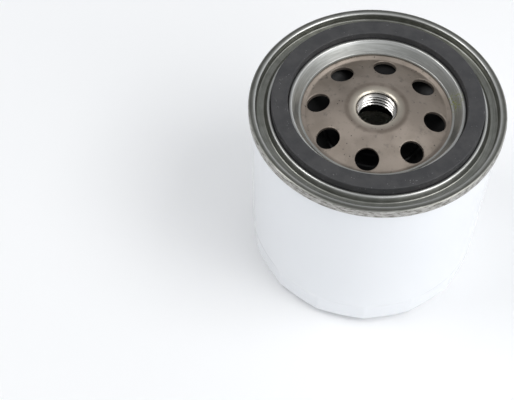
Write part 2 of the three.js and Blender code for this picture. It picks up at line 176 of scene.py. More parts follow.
# Bypass valve and element spring
SEAT_IN_R = 5.5
SEAT_BEAD_R = 6.4
SEAT_BEAD = 0.4
SEAL_IN_R = 4.6
SPIGOT_R = 4.2
GUIDE_R = 3.4
GUIDE_HEIGHT = 3.0
DISC_THICK = 0.8
CAGE_WALL = 0.55
CAGE_TOP = 0.6
CAGE_VENT_R = 2.2
CAGE_BAND = 1.5
CAGE_WINDOW = (7.0, 7.5)
BYPASS_WIRE = 0.9
BYPASS_TURNS = 4
WASHER_IN_R = 10.2
WASHER_SHEET = 0.6
SPRING_WIRE = 1.8
SPRING_TOP_R = 15.5
SPRING_TURNS = 3


# ---- Outlines ----


def rounded(points, steps=6):
    """A path whose corners are arcs. A point is (x, y) or (x, y, rounding)."""
    result = []
    for i, point in enumerate(points):
        corner = Vector(point[:2])
        radius = point[2] if len(point) > 2 else 0
        if not radius or i in (0, len(points) - 1):
            result.append(corner)
            continue
        back = (Vector(points[i - 1][:2]) - corner).normalized()
        ahead = (Vector(points[i + 1][:2]) - corner).normalized()
        half = back.angle(ahead) / 2
        centre = corner + (back + ahead).normalized() * radius / math.sin(half)
        start = corner + back * radius / math.tan(half) - centre
        end = corner + ahead * radius / math.tan(half) - centre
        first = math.atan2(start.y, start.x)
        sweep = math.remainder(math.atan2(end.y, end.x) - first, TURN)
        for k in range(steps + 1):
            angle = first + sweep * k / steps
            result.append(centre + radius * Vector((math.cos(angle), math.sin(angle))))
    return result


def closed(points, steps=6):
    """A closed outline with rounded corners. Its first point is not rounded."""
    return rounded([*points, points[0]], steps)[:-1]


def sides_of(path, thickness):
    """The two edges of a sheet of even thickness along a path."""
    left, right = [], []
    for i, p in enumerate(path):
        after = (path[i + 1] - p if i + 1 < len(path) else p - path[i - 1]).normalized()
        before = (p - path[i - 1] if i else after).normalized()
        along = (before + after).normalized()
        offset = Vector((-along.y, along.x)) * thickness / 2 / along.dot(after)
        left.append(p + offset)
        right.append(p - offset)
    return left, right


def strip(path, thickness):
    """The closed outline of a sheet of even thickness along a path."""
    left, right = sides_of(path, thickness)
    return left + right[::-1]


def ring(inner, outer, bottom, top, edge, steps=6):
    """The outline of a ring of rectangular section with rounded edges."""
    corners = [(outer, bottom, edge), (outer, top, edge), (inner, top, edge), (inner, bottom, edge)]
    return closed([((inner + outer) / 2, bottom), *corners], steps)


# ---- Meshes ----


def make_object(name, vertices, faces):
    """A smooth-shaded object with sharp edges where faces meet at more than SHARP. Points are in metres."""
    mesh = bpy.data.meshes.new(name)
    mesh.from_pydata([tuple(v) for v in vertices], [], faces)
    mesh.validate()
    mesh.polygons.foreach_set("use_smooth", [True] * len(mesh.polygons))
    mesh.set_sharp_from_angle(angle=SHARP)
    piece = bpy.data.objects.new(name, mesh)
    bpy.context.scene.collection.objects.link(piece)
    return piece


def turned(name, outline, facets=192, reshape=None):
    """A closed outline turned about Z. Reshape may move the grid of points, in cylindrical coordinates."""
    radius, height = np.array([tuple(p) for p in outline]).T
    area = np.dot(radius, np.roll(height, -1)) - np.dot(height, np.roll(radius, -1))
    if area < 0:
        radius, height = radius[::-1], height[::-1]
    angle = np.arange(facets) * TURN / facets
    rows = len(radius)
    r, a = np.meshgrid(radius, angle)
    z = np.tile(height, (facets, 1))
    if reshape:
        r, z = reshape(r, a, z)
    vertices = np.stack([r * np.cos(a), r * np.sin(a), z], axis=-1).reshape(-1, 3) * MM
    faces = []
    for i in range(facets):
        here, there = i * rows, (i + 1) % facets * rows
        for j in range(rows):
            k = (j + 1) % rows
            faces.append((here + j, there + j, there + k, here + k))
    return weld(make_object(name, vertices, faces))


def weld(piece, distance=TINY):
    """Merges points that coincide, drops faces that collapse, and splits faces of over four sides."""
    work = bmesh.new()
    work.from_mesh(piece.data)
    bmesh.ops.remove_doubles(work, verts=work.verts, dist=distance)
    bmesh.ops.dissolve_degenerate(work, edges=work.edges, dist=distance)
    bmesh.ops.triangulate(work, faces=[face for face in work.faces if len(face.verts) > 4])
    bmesh.ops.dissolve_degenerate(work, edges=work.edges, dist=distance)
    work.to_mesh(piece.data)
    work.free()
    return piece


def tube_faces(rings, sides):
    """The quads between rings of points that follow each other, and a cap at both ends."""
    faces = [tuple(range(sides))[::-1], tuple(range((rings - 1) * sides, rings * sides))]
    for i in range(rings - 1):
        for j in range(sides):
            k = (j + 1) % sides
            faces.append((i * sides + j, i * sides + k, (i + 1) * sides + k, (i + 1) * sides + j))
    return faces


def raised(name, path, thickness, bottom, top, rows=2):
    """A sheet along a path in the XY plane, raised from bottom to top."""
    left, right = sides_of(path, thickness)
    levels = np.linspace(bottom, top, rows)
    loop = [*right, *left[::-1]]
    vertices = [(p.x * MM, p.y * MM, z * MM) for z in levels for p in loop]
    sides, last = len(loop), len(path) - 1
    faces = tube_faces(rows, sides)[2:]
    for row, order in ((0, 1), (rows - 1, -1)):
        for i in range(last):
            quad = (i, sides - 1 - i, sides - 2 - i, i + 1)
            faces.append(tuple(row * sides + v for v in quad[::order]))
    return make_object(name, vertices, faces)


def coil(name, foot, top, wire, turns, dead=0.7, steps=72, sides=16):
    """Round wire wound from foot to top, each given as (radius, height). The end turns lie flat."""
    vertices = []
    count = turns * steps
    for i in range(count + 1):
        turn = i / steps
        rise = np.clip((turn - dead) / (turns - 2 * dead), 0, 1)
        radius = foot[0] + (top[0] - foot[0]) * turn / turns
        height = foot[1] + (top[1] - foot[1]) * rise
        angle = turn * TURN
        outward = Vector((math.cos(angle), math.sin(angle), 0))
        for j in range(sides):
            around = -j * TURN / sides
            place = outward * (radius + wire / 2 * math.cos(around))
            vertices.append((place + Vector((0, 0, height + wire / 2 * math.sin(around)))) * MM)
    return make_object(name, vertices, tube_faces(count + 1, sides))


def drill(radius, top, bottom, edge, reach=1.0):
    """A cutter on the Z axis. It flares at top and bottom, so that the hole it cuts has rounded edges."""
    flare = radius + edge
    path = rounded([(flare, top), (radius, top, edge), (radius, bottom, edge), (flare, bottom)])
    outline = [(0, top + reach), (flare, top + reach), *path, (flare, bottom - reach), (0, bottom - reach)]
    return turned("drill", outline, 64)


def cut(piece, cutter, places):
    """Cuts a piece with one cutter at each place, then removes the cutter."""
    for place in places:
        cutter.matrix_world = place
        bpy.context.view_layer.update()
        step = piece.modifiers.new("cut", "BOOLEAN")
        step.object = cutter
        step.solver = "EXACT"
        graph = bpy.context.evaluated_depsgraph_get()
        mesh = bpy.data.meshes.new_from_object(piece.evaluated_get(graph))
        piece.modifiers.clear()
        piece.data = mesh
    bpy.data.objects.remove(cutter)
    weld(piece, CUT_WELD)
    piece.data.set_sharp_from_angle(angle=SHARP)
    return piece


def smoothstep(value, low, high):
    t = np.clip((value - low) / (high - low), 0, 1)
    return t * t * (3 - 2 * t)


# ---- Materials ----


class Surface:
    """A material being built: a node tree round one principled shader, with places in millimetres."""

    def __init__(self, name, **sockets):
        self.material = bpy.data.materials.new(name)
        self.material.use_nodes = True
        self.tree = self.material.node_tree
        self.shader = self.tree.nodes["Principled BSDF"]
        place = self.node("TexCoord").outputs["Object"]
        self.place = self.vector("MULTIPLY", place, (1 / MM, 1 / MM, 1 / MM))
        for socket, value in sockets.items():
            self.set(socket.replace("_", " "), value)

    def node(self, kind, **settings):
        made = self.tree.nodes.new("ShaderNode" + kind)
        for key, value in settings.items():
            setattr(made, key, value)
        return made

    def feed(self, socket, value):
        if isinstance(value, bpy.types.NodeSocket):
            self.tree.links.new(value, socket)
        else:
            socket.default_value = value

    def set(self, socket, value):
        self.feed(self.shader.inputs[socket], value)

    def vector(self, operation, a, b=(0, 0, 0)):
        made = self.node("VectorMath", operation=operation)
        self.feed(made.inputs[0], a)
        self.feed(made.inputs[1], b)
        return made.outputs[1 if operation in ("LENGTH", "DISTANCE") else 0]

    def math(self, operation, a, b=0.0):
        made = self.node("Math", operation=operation)
        self.feed(made.inputs[0], a)
        self.feed(made.inputs[1], b)
        return made.outputs[0]

    def split(self, vector):
        made = self.node("SeparateXYZ")
        self.feed(made.inputs[0], vector)
        return made.outputs

    def noise(self, size, place=None, detail=4.0, roughness=0.55):
        """Noise from 0 to 1 whose lumps are about size millimetres across."""
        made = self.node("TexNoise")
        self.feed(made.inputs["Vector"], self.place if place is None else place)
        self.feed(made.inputs["Scale"], 1 / size)
        self.feed(made.inputs["Detail"], detail)
        self.feed(made.inputs["Roughness"], roughness)
        return made.outputs["Fac"]

    def specks(self, size, share):
        """1 inside scattered round specks, 0 outside. Share is how much of each cell a speck takes."""
        made = self.node("TexVoronoi", feature="F1")
        self.feed(made.inputs["Vector"], self.place)
        self.feed(made.inputs["Scale"], 1 / size)
        return self.ramp(made.outputs["Distance"], share, share * 0.7)

    def ramp(self, value, low, high, to_low=0.0, to_high=1.0):
        made = self.node("MapRange", interpolation_type="SMOOTHSTEP")
        for name, number in (("From Min", low), ("From Max", high), ("To Min", to_low), ("To Max", to_high)):
            made.inputs[name].default_value = number
        self.feed(made.inputs["Value"], value)
        return made.outputs["Result"]

    def mix(self, factor, a, b):
        """A colour between a and b."""
        made = self.node("Mix", data_type="RGBA")
        self.feed(made.inputs[0], factor)
        self.feed(made.inputs[6], a)
        self.feed(made.inputs[7], b)
        return made.outputs[2]

    def mix_value(self, factor, a, b):
        """A number between a and b."""
        made = self.node("Mix", data_type="FLOAT")
        for socket, value in zip(made.inputs[0:1] + made.inputs[2:4], (factor, a, b)):
            self.feed(socket, value)
        return made.outputs[0]

    def bump(self, height, depth, under=None):
        """Relief depth millimetres deep where height goes from 0 to 1."""
        made = self.node("Bump")
        made.inputs["Distance"].default_value = depth * MM
        self.feed(made.inputs["Height"], height)
        if under is not None:
            self.feed(made.inputs["Normal"], under)
        return made.outputs["Normal"]

    def radius(self):
        return self.vector("LENGTH", self.vector("MULTIPLY", self.place, (1, 1, 0)))

    def rings(self, along, across):
        """A place for noise that runs in rings round the axis, along mm long and across mm wide."""
        flat = self.vector("MULTIPLY", self.place, (1, 1, 0))
        spread = self.vector("MULTIPLY", self.vector("NORMALIZE", flat), (SEAM_R / along,) * 3)
        radius, height = self.radius(), self.split(self.place)[2]
        offset = self.node("CombineXYZ")
        self.feed(offset.inputs[0], self.math("DIVIDE", radius, across))
        self.feed(offset.inputs[2], self.math("DIVIDE", height, across))
        return self.vector("ADD", spread, offset.outputs[0])

    def near(self, centre, inside, outside):
        """1 within inside millimetres of a point, 0 beyond outside."""
        return self.ramp(self.vector("DISTANCE", self.place, centre), inside, outside, 1.0, 0.0)


def grey(value, warmth=0.0):
    """A linear colour with an alpha of 1. Warmth above 0 takes out blue and adds red."""
    return (value * (1 + warmth), value, value * (1 - warmth), 1)


def white_paint():
    """Glossy enamel with a slightly cool cast, not quite even in colour and gloss."""
    s = Surface("white_paint", Coat_Weight=0.6, Coat_Roughness=0.08, IOR=1.5)
    s.set("Base Color", s.mix(s.noise(25, detail=0), (0.84, 0.86, 0.89, 1), (0.87, 0.885, 0.905, 1)))
    s.set("Roughness", s.mix_value(s.noise(18, detail=0), 0.26, 0.34))
    return s.material


def zinc_sheet():
    """Grey plated sheet with drawing marks round the axis. Its seam fold and lip tops are painted lighter as
    highlights and the recess lighter as a painted reflection, a band on the seam's top is painted darker as
    shade, the seam's side is scuffed by the seaming rolls, and green marking paint has flecked the recess."""
    s = Surface("zinc_sheet")
    radius, height = s.radius(), s.split(s.place)[2]
    streaks = s.noise(1, s.rings(9, 0.3), detail=5)
    blotches = s.noise(3.5, detail=5)
    plain = s.mix(s.ramp(blotches, 0.3, 0.7), (0.27, 0.273, 0.245, 1), (0.37, 0.372, 0.34, 1))
    plain = s.mix(s.ramp(streaks, 0.35, 0.65, 0, 0.55), plain, (0.17, 0.172, 0.155, 1))
    # Painted highlights: the seam's inner fold and the lip tops are painted lighter, and the recess lighter
    # as a painted reflection, broken by the streaks.
    seam_top = s.ramp(height, SEAM_TOP - 0.35, SEAM_TOP - 0.1)
    seam_fold = s.math("MULTIPLY", seam_top, s.ramp(radius, SEAM_R - 1.3, SEAM_R - 1.6))
    lip_tops = s.ramp(height, SEAM_TOP - 1.3, SEAM_TOP - 1.05)
    lips = s.math("MULTIPLY", lip_tops, s.ramp(radius, GASKET_OUT_R + 1.8, GASKET_OUT_R + 1.5))
    recess = s.ramp(radius, GASKET_IN_R, GASKET_IN_R - 0.4, 0, 0.6)
    bright = s.math("MAXIMUM", s.math("MAXIMUM", seam_fold, lips), recess)
    painted_highlights = s.math("MULTIPLY", bright, s.ramp(streaks, 0.3, 0.65, 1.0, 0.6))
    plain = s.mix(painted_highlights, plain, (0.6, 0.6, 0.58, 1))
    outer = s.ramp(radius, SEAM_R - 0.3, SEAM_R - 0.1)
    scuffs = s.noise(1, s.rings(1.8, 0.5), detail=7, roughness=0.7)
    rubbed = s.mix(s.ramp(scuffs, 0.36, 0.6), (0.18, 0.17, 0.15, 1), (0.55, 0.54, 0.52, 1))
    # Painted shade: a band on the seam's top, inside its outer edge, is painted darker.
    edge = s.ramp(radius, SEAM_R - 0.3, SEAM_R - 0.6)
    seam_top_shade = s.math("MULTIPLY", s.ramp(radius, SEAM_R - 1.3, SEAM_R - 0.8), edge)
    plain = s.mix(s.math("MULTIPLY", seam_top_shade, 0.6), plain, (0.08, 0.076, 0.07, 1))
    flecks = s.math("MULTIPLY", s.near(FLECKS, 1.5, 5.0), s.ramp(s.noise(0.7, detail=3), 0.54, 0.57))
    s.set("Base Color", s.mix(flecks, s.mix(outer, plain, rubbed), (0.24, 0.26, 0.08, 1)))
    s.set("Metallic", s.math("SUBTRACT", 1.0, flecks))
    smooth = s.ramp(streaks, 0.3, 0.7, 0.32, 0.46)
    s.set("Roughness", s.math("ADD", smooth, s.math("MULTIPLY", outer, 0.15)))
    lines = s.bump(streaks, 0.012)
    s.set("Normal", s.bump(s.math("MULTIPLY", scuffs, outer), 0.1, lines))
    return s.material


def plate_steel():
    """Pressed plate with a cloudy taupe plating and fine grain, stained and specked with dirt, and lighter at
    the mouth of the collar, as polish and a painted highlight, inside a faint brown ring that is part stain
    and part painted shade. The thread is bright cut steel with its roots painted darker as shade."""
    s = Surface("plate_steel")
    radius = s.radius()
    clouds = s.noise(7, detail=5, roughness=0.5)
    base = s.mix(s.ramp(clouds, 0.35, 0.65), (0.25, 0.212, 0.178, 1), (0.315, 0.27, 0.23, 1))
    stains = s.ramp(s.noise(2.2, detail=6, roughness=0.65), 0.54, 0.72, 0, 0.6)
    base = s.mix(stains, base, (0.13, 0.115, 0.1, 1))
    # A faint brown ring round the mouth, part stain and part painted shade where the cone bends into the
    # boss.
    outside = s.ramp(radius, MOUTH_R + 0.6, MOUTH_R - 0.4)
    ring = s.math("MULTIPLY", s.ramp(radius, MOUTH_R - 1.5, MOUTH_R - 0.7), outside)
    brown_stain_and_shade = s.math("MULTIPLY", ring, s.ramp(s.noise(2.5, detail=3), 0.3, 0.6, 0.25, 0.5))
    base = s.mix(brown_stain_and_shade, base, (0.14, 0.11, 0.085, 1))
    dirt = s.math("MULTIPLY", s.specks(1.4, 0.16), s.ramp(s.noise(2.3, detail=2), 0.52, 0.6))
    base = s.mix(s.math("MULTIPLY", dirt, 0.8), base, grey(0.02))
    # The mouth's rounding is painted lighter, part polish and part painted highlight.
    mouth = s.ramp(radius, MOUTH_R - 0.9, THREAD_MAJOR_R + 0.3)
    base = s.mix(mouth, base, (0.56, 0.51, 0.43, 1))
    # Painted shade: the thread's roots are painted darker than its bright crests.
    thread = s.ramp(radius, THREAD_MAJOR_R + 0.3, THREAD_MAJOR_R - 0.1)
    crests = s.ramp(radius, THREAD_MAJOR_R - 0.1, THREAD_MINOR_R)
    bore_with_root_shade = s.mix(crests, (0.3, 0.28, 0.26, 1), (0.66, 0.64, 0.61, 1))
    s.set("Base Color", s.mix(thread, base, bore_with_root_shade))
    s.set("Metallic", s.ramp(mouth, 0, 1, 0.8, 1.0))
    rough = s.mix_value(mouth, s.ramp(clouds, 0.3, 0.7, 0.46, 0.54), 0.34)
    s.set("Roughness", s.mix_value(thread, rough, 0.2))
    grain = s.math("MULTIPLY", s.noise(0.25, detail=3), s.math("SUBTRACT", 1.0, mouth))
    s.set("Normal", s.bump(grain, 0.01))
    return s.material


def gasket_rubber():
    """Moulded nitrile, matte, with a pale bloom of fine specks."""
    s = Surface("gasket_rubber", IOR=1.5)
    base = s.mix(s.ramp(s.noise(4), 0.3, 0.7), (0.03, 0.03, 0.032, 1), (0.046, 0.045, 0.046, 1))
    bloom = s.math("MULTIPLY", s.specks(0.6, 0.2), s.ramp(s.noise(2.5, detail=3), 0.56, 0.64))
    s.set("Base Color", s.mix(s.math("MULTIPLY", bloom, 0.7), base, grey(0.3)))
    s.set("Roughness", s.ramp(s.noise(2.5), 0.3, 0.7, 0.5, 0.7))
    s.set("Normal", s.bump(s.noise(0.3, detail=4), 0.03))
    return s.material


def filter_paper():
    """Resin-treated paper: long fibres and a faint mottle."""
    s = Surface("filter_paper", Roughness=0.85)
    fibres = s.noise(1, s.vector("MULTIPLY", s.place, (1.2, 1.2, 4.5)), detail=6, roughness=0.7)
    s.set("Base Color", s.mix(s.ramp(fibres, 0.3, 0.7), (0.6, 0.4, 0.15, 1), (0.75, 0.55, 0.27, 1)))
    s.set("Normal", s.bump(fibres, 0.05))
    return s.material


def sheet_metal(name, dark, light, low=0.25, high=0.42):
    """Plain plated steel with fine drawing marks round the axis."""
    s = Surface(name, Metallic=1.0)
    streaks = s.noise(1, s.rings(12, 0.4), detail=5)
    s.set("Base Color", s.mix(s.ramp(s.noise(4, detail=5), 0.3, 0.7), dark, light))
    s.set("Roughness", s.ramp(streaks, 0.3, 0.7, low, high))
    s.set("Normal", s.bump(streaks, 0.01))
    return s.material


def soft_solid(name, dark, light, roughness, lump=2.0, relief=0.03, shine=0.5):
    """Cast or moulded material with a slight mottle."""
    s = Surface(name, Specular_IOR_Level=shine)
    mottle = s.noise(lump, detail=4)
    s.set("Base Color", s.mix(s.ramp(mottle, 0.3, 0.7), dark, light))
    s.set("Roughness", s.ramp(s.noise(lump / 2), 0.3, 0.7, roughness - 0.08, roughness + 0.08))
    s.set("Normal", s.bump(mottle, relief))
    return s.material


MATERIALS = {
    "white_paint": white_paint(),
    "zinc_sheet": zinc_sheet(),
    "plate_steel": plate_steel(),
    "gasket_rubber": gasket_rubber(),
    "valve_rubber": soft_solid("valve_rubber", grey(0.006), grey(0.011), 0.45, 3.0, 0.02, 0.2),
    "tin_plate": sheet_metal("tin_plate", (0.5, 0.5, 0.47, 1), (0.66, 0.66, 0.63, 1)),
    "spring_steel": sheet_metal("spring_steel", grey(0.2), grey(0.32), 0.3, 0.45),
    "compound": soft_solid("compound", grey(0.18), grey(0.24), 0.65),
    "filter_paper": filter_paper(),
    "plastisol": soft_solid("plastisol", (0.03, 0.13, 0.2, 1), (0.05, 0.18, 0.27, 1), 0.5),
    "black_nylon": soft_solid("black_nylon", grey(0.012), grey(0.02), 0.45, 1.0, 0.01),
}


# ---- Housing ----


def layer_radius(layer):
    """Middle of a layer of the seam, counted from the outside in."""
    return SEAM_R - SHEET / 2 - layer * (SHEET + FOLD_GAP)


def press_flats(r, a, z):
    """Draws the wall in to shallow flats round the closed end."""
    pitch = TURN / FLATS
    turn = np.mod(a - FLAT_PHASE, pitch) - pitch / 2
    flat = np.cos(pitch / 2) / np.cos(turn)
    inner = CAN_R - CORNER_R
    depth = smoothstep(-z, -FLAT_TOP, -FLAT_FULL) * smoothstep(r, inner - SHEET, CAN_R - SHEET)
    return r * (1 + (flat - 1) * depth * FLAT_DEPTH), z


def can():
    wall = CAN_R - SHEET / 2
    seam_top = SEAM_TOP - SHEET * 1.5 - FOLD_GAP
    seam_foot = SEAM_TOP - SEAM_HEIGHT - CLEAR
    path = [
        (layer_radius(1), SEAM_TOP - SEAM_HEIGHT + SHEET + FOLD_GAP),
        (layer_radius(1), seam_top, FOLD_BEND),
        (layer_radius(3), seam_top, FOLD_BEND),
        (layer_radius(3), seam_foot, 0.5),
        (wall, seam_foot - SEAM_JOG, 0.8),
        *((wall, FLAT_TOP + 1 - step / 2) for step in range(13)),
        (wall, END_RISE, CORNER_R - 0.3),
        (wall - CORNER_R - 1, END_RISE - 0.05, 1),
        (END_FLAT_R, SHEET / 2, 8),
        (0, SHEET / 2),
    ]
    return turned("can_shell", strip(rounded(path, 10), SHEET), 24 * FLATS, press_flats)


def seaming_lid():
    top = SEAM_TOP - SHEET / 2
    curl = SEAM_TOP - SEAM_HEIGHT + SHEET / 2
    channel = SEAM_TOP - CHANNEL_DEPTH
    outer_lip = SEAM_TOP - OUTER_LIP_DEPTH
    inner_lip = SEAM_TOP - INNER_LIP_DEPTH
    groove_out = GASKET_OUT_R + GROOVE_GAP + SHEET / 2
    groove_in = GASKET_IN_R - GROOVE_GAP - SHEET / 2
    path = [
        (layer_radius(2), curl + SEAM_HOOK),
        (layer_radius(2), curl, FOLD_BEND),
        (layer_radius(0), curl, FOLD_BEND),
        (layer_radius(0), top, 0.5),
        (layer_radius(4), top, 0.6),
        (layer_radius(4), channel, 0.7),
        (groove_out + CHANNEL_IN, channel, 0.7),
        (groove_out + OUTER_LIP, outer_lip, 0.45),
        (groove_out, outer_lip, 0.25),
        (groove_out, GROOVE_FLOOR, 0.3),
        (groove_in, GROOVE_FLOOR, 0.3),
        (groove_in, inner_lip, 0.3),
        (groove_in - INNER_LIP, inner_lip, 0.5),
        (groove_in - INNER_FLARE, GROOVE_FLOOR, 0.5),
        (FLANGE_IN_R, GROOVE_FLOOR),
    ]
    return turned("seaming_lid_shell", strip(rounded(path, 8), SHEET), 288)


def seam_sealant():
    low, high = extent("seam_sealant")
    inner = 2 * layer_radius(2) - high.x
    return turned("seam_sealant_bead", ring(inner, high.x, low.z, high.z, 0.1))


def cone(r):
    """Height of the base plate's upper face, inside its rim."""
    return INLET_Z + (INLET_CIRCLE_R - r) * math.tan(CONE_SLOPE)


def cut_thread(r, a, z):
    """Cuts a right-hand helix into the bore. It runs out on the curve of the mouth."""
    turn = np.mod(z / THREAD_PITCH - a / TURN + THREAD_START, 1)
    tooth = 1 - np.abs(2 * turn - 1)
    groove = np.clip((tooth - 0.2) / 0.65, 0, 1)
    thread = THREAD_MINOR_R + groove * (THREAD_MAJOR_R - THREAD_MINOR_R)
    return np.where(r < THREAD_MAJOR_R - 0.01, np.maximum(r, thread), r), z


def curve(start, corner, end, steps):
    """A smooth bend from start to end that leaves each of them towards the corner."""
    start, corner, end = Vector(start), Vector(corner), Vector(end)
    ts = [i / steps for i in range(steps + 1)]
    return [start.lerp(corner, t).lerp(corner.lerp(end, t), t) for t in ts]


def base_plate():
    bottom = PLATE_TOP - PLATE_THICK
    collar_end = PLATE_LOW.z
    mouth = curve((MOUTH_R, cone(MOUTH_R)), (THREAD_MAJOR_R, BOSS_Z), (THREAD_MAJOR_R, MOUTH_Z), 16)
    levels = np.arange(MOUTH_Z - THREAD_STEP, collar_end + THREAD_STOP, -THREAD_STEP)
    bore = [(max(THREAD_MINOR_R, THREAD_MAJOR_R - (MOUTH_Z - z)), z) for z in levels]
    outline = closed([
        (PLATE_R, PLATE_TOP - PLATE_THICK / 2),
        (PLATE_R, PLATE_TOP, PLATE_EDGE),
        (RIM_IN_R, PLATE_TOP, PLATE_BEND),
        (CONE_OUT_R, cone(CONE_OUT_R), PLATE_BEND),
        *((r, cone(r)) for r in np.arange(CONE_OUT_R - CONE_STEP, MOUTH_R + 0.3, -CONE_STEP)),
        *mouth,
        *bore,
        (THREAD_MAJOR_R, collar_end, 0.15),
        (COLLAR_R, collar_end, PLATE_EDGE),
        (COLLAR_R, cone(COLLAR_R) - PLATE_THICK, PLATE_BEND),
        (CONE_OUT_R, cone(CONE_OUT_R) - PLATE_THICK, PLATE_BEND),
        (RIM_IN_R, bottom, PLATE_BEND),
        (PLATE_R, bottom, PLATE_EDGE),
    ], 8)
    plate = turned("base_plate_body", outline, 288, cut_thread)
    through = PLATE_THICK * math.cos(CONE_SLOPE)
    tilt = Matrix.Translation((INLET_CIRCLE_R * MM, 0, INLET_Z * MM)) @ Matrix.Rotation(CONE_SLOPE, 4, "Y")
    places = [Matrix.Rotation(i * TURN / INLETS, 4, "Z") @ tilt for i in range(INLETS)]
    return cut(plate, drill(INLET_R, 0, -through, INLET_EDGE), places)


def gasket():
    outline = ring(GASKET_IN_R, GASKET_OUT_R, GASKET_LOW.z, GASKET_HIGH.z, GASKET_EDGE, 8)
    return turned("gasket_ring", outline, 288)


def element_spring():
    low, high = extent("element_spring")
    foot = (high.x - SPRING_WIRE / 2, low.z + SPRING_WIRE / 2)
    top = (SPRING_TOP_R, high.z - SPRING_WIRE / 2)
    return coil("element_spring_wire", foot, top, SPRING_WIRE, SPRING_TURNS)


# ---- Anti-drainback valve ----


def anti_drainback_valve():
    bottom = VALVE_LOW.z
    lip = PLATE_TOP - PLATE_THICK - CLEAR
    web = RIB_TOP - RIB_HEIGHT
    lip_r = VALVE_HIGH.x
    outline = closed([
        (NECK_IN_R + 1, bottom),
        (NECK_OUT_R, bottom, 0.4),
        (NECK_OUT_R, web - FLAP_THICK, 0.8),
        (RIB_R - RIB_HALF, web - FLAP_THICK, 1.5),
        (lip_r, lip - LIP_THICK, 0.3),
        (lip_r, lip - LIP_THICK / 2, 0.2),
        (lip_r - LIP_THICK / 2, lip, 0.2),
        (RIB_R + RIB_HALF, RIB_TOP - RIB_HEIGHT / 3, 0.3),
        (RIB_R, RIB_TOP, 0.3),
        (RIB_R - RIB_HALF, web, 0.3),
        (NECK_OUT_R - RIB_HALF, web, 0.8),
        (NECK_OUT_R - RIB_HALF, NECK_TOP, 0.5),
        (NECK_IN_R, NECK_TOP, 0.4),
        (NECK_IN_R, bottom, 0.3),
    ])
    return turned("drainback_valve_rubber", outline)


# ---- Filter element ----


def end_cap(node, into):
    """A pressed cap whose rim and neck point into the element: 1 is up, -1 is down."""
    low, high = extent(node)
    face = low.z if into > 0 else high.z
    middle = face + into * CAP_SHEET / 2
    outer = high.x - CAP_SHEET / 2
    path = [
        (CAP_NECK_R, face + into * CAP_NECK),
        (CAP_NECK_R, middle, 0.6),
        (outer, middle, 0.9),
        (outer, low.z + high.z - face),
    ]
    return turned(node + "_pressing", strip(rounded(path), CAP_SHEET))


def glue_ring(node):
    low, high = extent(node)
    return turned(node + "_ring", ring(GLUE_IN_R, high.x, low.z, high.z, 0.4))


def pleated_media():
    """Paper folded into pleats. Each tip is rounded, and the two ends meet in the seam clip."""
    low, high = extent("pleated_media")
    pitch = TURN / PLEATS

    def tip(radius, angle, reach):
        corners = (angle - reach / radius, angle + reach / radius)
        return [(radius * math.cos(a), radius * math.sin(a), 0.4) for a in corners]

    end = (CLIP_R - CLIP_SHEET / 2 - CLEAR, PLEAT_TIP / 2)
    path = [end]
    for i in range(PLEATS):
        if i:
            path += tip(PLEAT_OUT_R, i * pitch, PLEAT_TIP / 2)
        path += tip(PLEAT_IN_R, (i + 0.5) * pitch, PLEAT_TIP / 2)
    path.append((end[0], -end[1]))
    return raised("pleated_media_paper", rounded(path, 4), PAPER, low.z, high.z)


def media_seam_clip():
    low, high = extent("media_seam_clip")
    arm = high.y - CLIP_SHEET / 2
    end = CLIP_R - CLIP_DEPTH
    path = [(end, -arm), (CLIP_R, -arm, 0.35), (CLIP_R, arm, 0.35), (end, arm)]
    return raised("media_seam_clip_channel", rounded(path), CLIP_SHEET, low.z, high.z)


def centre_tube():
    low, high = extent("centre_tube")
    height = high.z - low.z
    tube = turned("centre_tube_sleeve", ring(high.x - TUBE_WALL, high.x, low.z, high.z, 0.15), 144)
    places = []
    for row in range(TUBE_ROWS):
        level = Matrix.Translation((0, 0, (low.z + height * (row + 1) / (TUBE_ROWS + 1)) * MM))
        for i in range(TUBE_HOLES):
            turn = (i + row % 2 / 2) * TURN / TUBE_HOLES
            places.append(level @ Matrix.Rotation(turn, 4, "Z") @ Matrix.Rotation(TURN / 4, 4, "X"))
    return cut(tube, drill(TUBE_HOLE_R, high.x + 1, 0, 0.01, 0.1), places)


def spring_washer():
    low, high = extent("spring_washer")
    middle = high.z - WASHER_SHEET / 2
    outer = high.x - WASHER_SHEET / 2
    path = [(WASHER_IN_R, middle), (outer - 0.4, middle, 0.8), (outer, low.z + WASHER_SHEET / 2)]
    return turned("spring_washer_pressing", strip(rounded(path), WASHER_SHEET))


# ---- Bypass valve ----


def bypass_seat():
    low, high = extent("bypass_seat")
    top = high.z - SEAT_BEAD
    outline = closed([
        (SEAT_BEAD_R, low.z),
        (high.x, low.z, 0.2),
        (high.x, top, 0.2),
        (SEAT_BEAD_R, top, 0.15),
        (SEAT_BEAD_R - 0.1, high.z, 0.25),
        (SEAT_IN_R, high.z, 0.25),
        (SEAT_IN_R, low.z, 0.2),
    ])
    return turned("bypass_seat_ring", outline)


def bypass_seal():
    low, high = extent("bypass_seal")
    return turned("bypass_seal_disc", ring(SEAL_IN_R, high.x, low.z, high.z, 0.25))


def bypass_poppet():
    low, high = extent("bypass_poppet")
    top = high.z - GUIDE_HEIGHT
    outline = [(0, low.z), *rounded([
        (0, low.z),
        (SPIGOT_R, low.z, 0.3),
        (SPIGOT_R, top - DISC_THICK, 0.15),
        (high.x, top - DISC_THICK, 0.25),
        (high.x, top, 0.25),
        (GUIDE_R, top, 0.5),
        (GUIDE_R - 0.6, high.z, 0.6),
        (0, high.z),
    ])[1:]]
    return turned("bypass_poppet_moulding", outline)


